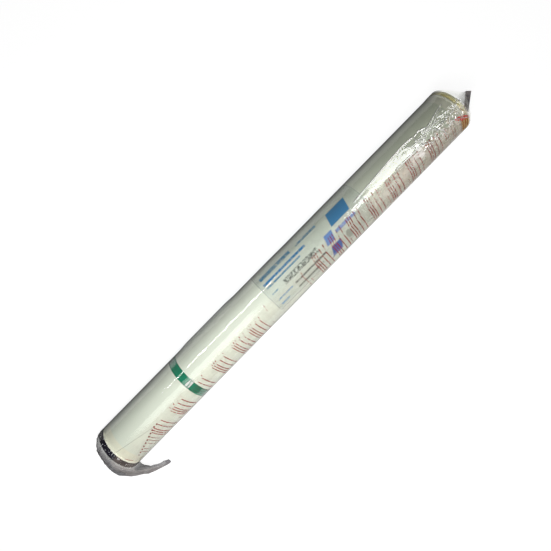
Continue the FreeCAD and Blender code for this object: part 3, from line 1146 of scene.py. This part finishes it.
# %% Film bag: colours
FOLDED_GREY_AND_REFLECTION = (0.23, 0.218, 0.232)
EDGE_SHADE = (0.03, 0.035, 0.035)
OVERLAP_GREEN = (0.22, 0.25, 0.20)
MILKY_AND_SHEEN = (0.94, 0.77, 0.65)
STAIN = (0.85, 0.50, 0.16)
STAIN_LINES = (0.42, 0.10, 0.02)
PRINT_RED = (0.34, 0.03, 0.03)
DOT_RED = (0.22, 0.03, 0.03)
PATCH_RED = (0.80, 0.04, 0.03)
CREASE_WHITE_AND_HIGHLIGHT = (0.92, 0.92, 0.86)

mottle = noise(object_place(tree), 70.0, 2.0) * 1.8 + 0.1
# Milky haze of the film, with a painted sheen that grows towards the far end
milky_and_sheen = between(arc_mm, 3.0, 70.0, 9.0) * (between(x_mm, 150.0, 900.0, 150.0) * 0.26 + 0.10)
milky_and_sheen = milky_and_sheen * mottle * (1.0 - over_band * 0.85) * (1.0 - past_cap * 0.7)
# Grey of folded film: its haze in several layers, and partly a painted reflection
grey = (folded_film * (mottle * 0.5 + 0.5) * 0.62).at_most(0.9)

cover = grey.at_least(0.01).at_least(edge_shade_painted).at_least(overlap)
colour = mix_colour(edge_shade_painted * 2.0, FOLDED_GREY_AND_REFLECTION, EDGE_SHADE)
colour = mix_colour(overlap * 3.0, colour, OVERLAP_GREEN)
for mask, shade in (
    (milky_and_sheen, MILKY_AND_SHEEN),
    (stain, STAIN),
    (stain_lines, STAIN_LINES),
    (printed, PRINT_RED),
    (dots, DOT_RED),
    (patch, PATCH_RED),
    # Crease whitening: partly stress whitening, partly a painted highlight
    (creased * 0.58, CREASE_WHITE_AND_HIGHLIGHT),
):
    strength = (mask / cover.at_least(0.05)).at_most(1.0)
    colour = mix_colour(strength, colour, shade)
    cover = cover.at_least(mask)
feed(colour, shader.inputs["Base Color"])
print("colours", len(tree.nodes), "nodes")

# %% [markdown]
# ## Film bag: highlights
# Clear film shows itself by its highlights. A glossy layer over a see-through one gives
# them, with a fine ripple. It mirrors more at creases and, in patches, where the film lies in
# several crumpled layers, and less where it clings to the wet rubber. A glass shader would
# bend the view of the element, which thin film does not do.

# %% Film bag: highlights
FILM_TINT = (0.985, 0.99, 0.975, 1)
FILM_IOR = 1.5

ripple = tree.nodes.new("ShaderNodeBump")
ripple.inputs["Strength"].default_value = 0.5
ripple.inputs["Distance"].default_value = 0.3 * MM
feed(noise(object_place(tree), 190.0, 2.0), ripple.inputs["Height"])
gloss = tree.nodes.new("ShaderNodeBsdfGlossy")
feed(creased * 0.2 + 0.07, gloss.inputs["Roughness"])
tree.links.new(ripple.outputs[0], gloss.inputs["Normal"])
see_through = tree.nodes.new("ShaderNodeBsdfTransparent")
see_through.inputs["Color"].default_value = FILM_TINT
fresnel = tree.nodes.new("ShaderNodeFresnel")
fresnel.inputs["IOR"].default_value = FILM_IOR

layered = between(x_mm, 325.0, 478.0, 20.0) * between(arc_mm, 1.0, 28.0, 6.0)
layered = layered * between(noise(place, 85.0, 2.0), 0.47, OPEN_END, 0.05)
clinging = between(x_mm, -484.0, -462.0, 3.0)
sheen = (Value(tree, fresnel.outputs[0]) + 0.02).at_most(0.10)
sheen = (sheen + creased * 0.40 + layered * 0.30) * (1.0 - clinging * 0.95)


def mix_shaders(factor, first, second):
    """One shader over another."""
    made = tree.nodes.new("ShaderNodeMixShader")
    feed(factor, made.inputs[0])
    tree.links.new(first.outputs[0], made.inputs[1])
    tree.links.new(second.outputs[0], made.inputs[2])
    return made


bare_film = mix_shaders(sheen, see_through, gloss)
shown_film = mix_shaders(cover, bare_film, shader)
tree.links.new(shown_film.outputs[0], tree.nodes["Material Output"].inputs["Surface"])
print("film material", len(tree.nodes), "nodes")

# %% [markdown]
# ## Film bag: crumpled and dressed
# The crumple group runs as a modifier on the film. Its result is read back as a plain mesh
# and the modifier goes, so that the film's mesh is the film as it is seen.

# %% Film bag: crumpled and dressed
modifier = film.modifiers.new("crumple", "NODES")
modifier.node_group = crumple
sockets = {s.name: s.identifier for s in crumple.interface.items_tree if s.in_out == "INPUT"}
for title, value in CRUMPLE.items():
    modifier[sockets[title]] = value
modifier[sockets["Material"]] = clear
bpy.context.view_layer.update()
evaluated = film.evaluated_get(bpy.context.evaluated_depsgraph_get())
plain = bpy.data.meshes.new_from_object(evaluated)
film.modifiers.clear()
film.data = plain
set_material(film, clear)
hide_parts("film_bag")
print("film", len(film.data.polygons), "faces")

# %% [markdown]
# ## Floor
# The ground is white paper. It adds a little light of its own where the camera or a
# reflection sees it, so that it stays white, and the element keeps its soft shadow. Brighter
# lamps would whiten it too, but they would burn out the pale wrap.

# %% Floor
FLOOR = 10.0
PAPER_GLOW = 0.90

mesh = bpy.data.meshes.new("floor")
corners = [(-FLOOR, -FLOOR, 0), (FLOOR, -FLOOR, 0), (FLOOR, FLOOR, 0), (-FLOOR, FLOOR, 0)]
mesh.from_pydata(corners, [], [(0, 1, 2, 3)])
floor = bpy.data.objects.new("floor", mesh)
bpy.context.scene.collection.objects.link(floor)
paper, tree, shader = new_material("paper", (0.27, 0.27, 0.27), 0.9, Specular_IOR_Level=0.0)
rays = tree.nodes.new("ShaderNodeLightPath").outputs
seen = Value(tree, rays["Is Camera Ray"]).at_least(Value(tree, rays["Is Glossy Ray"]))
seen = seen.at_least(Value(tree, rays["Is Transmission Ray"]))
feed(seen * PAPER_GLOW, shader.inputs["Emission Strength"])
shader.inputs["Emission Color"].default_value = (1, 1, 1, 1)
set_material(floor, paper)
print("floor", 2 * FLOOR, "m wide")

# %% [markdown]
# ## Lights and surroundings
# One soft light lies over the seal end, so that the body darkens towards the far end, and it
# shows in no reflection. Four panels and a thin tube of light show only in reflections and
# draw the highlights of the film and the wrap: two panels over the body, one low beside the
# far end, one off its side, and the tube for the thin bright line. A grey world fills in.


# %% Lights and surroundings
def area_light(name, place, size, power, look_at=None, diffuse=True, glossy=True):
    """A rectangular light that points down or at a place."""
    data = bpy.data.lights.new(name, "AREA")
    data.shape = "RECTANGLE"
    data.size, data.size_y = size
    data.energy = power
    made = bpy.data.objects.new(name, data)
    made.location = place
    if look_at is not None:
        aim = made.location - Vector(look_at)
        made.rotation_euler = aim.to_track_quat("Z", "Y").to_euler()
    made.visible_diffuse = diffuse
    made.visible_glossy = glossy
    made.visible_camera = False
    bpy.context.scene.collection.objects.link(made)


area_light("soft_over_seal_end", (-0.22, -0.16, 0.79), (0.5, 0.35), 6.0, glossy=False)
area_light("panel_near", (-0.68, -0.36, 1.6), (0.95, 0.88), 5.6, diffuse=False)
area_light("panel_far", (1.0, -0.125, 1.6), (0.9, 0.55), 17.0, diffuse=False)
area_light("thin_tube", (-0.52, 1.05, 1.6), (0.95, 0.05), 7.0, diffuse=False)
area_light("panel_far_low", (1.1, -0.82, 1.6), (0.8, 0.75), 4.8, diffuse=False)
area_light("panel_side", (1.25, -1.4, 0.9), (1.1, 1.2), 10.0, look_at=(1.25, 0, 0.3), diffuse=False)

world = bpy.data.worlds.new("surroundings")
world.use_nodes = True
world.node_tree.nodes["Background"].inputs["Color"].default_value = (0.20, 0.203, 0.20, 1)
bpy.context.scene.world = world
bpy.context.scene.view_settings.view_transform = "Standard"
print("lights", len(bpy.data.lights))

# %% [markdown]
# ## Finish

# %% Finish
print("end of the script")
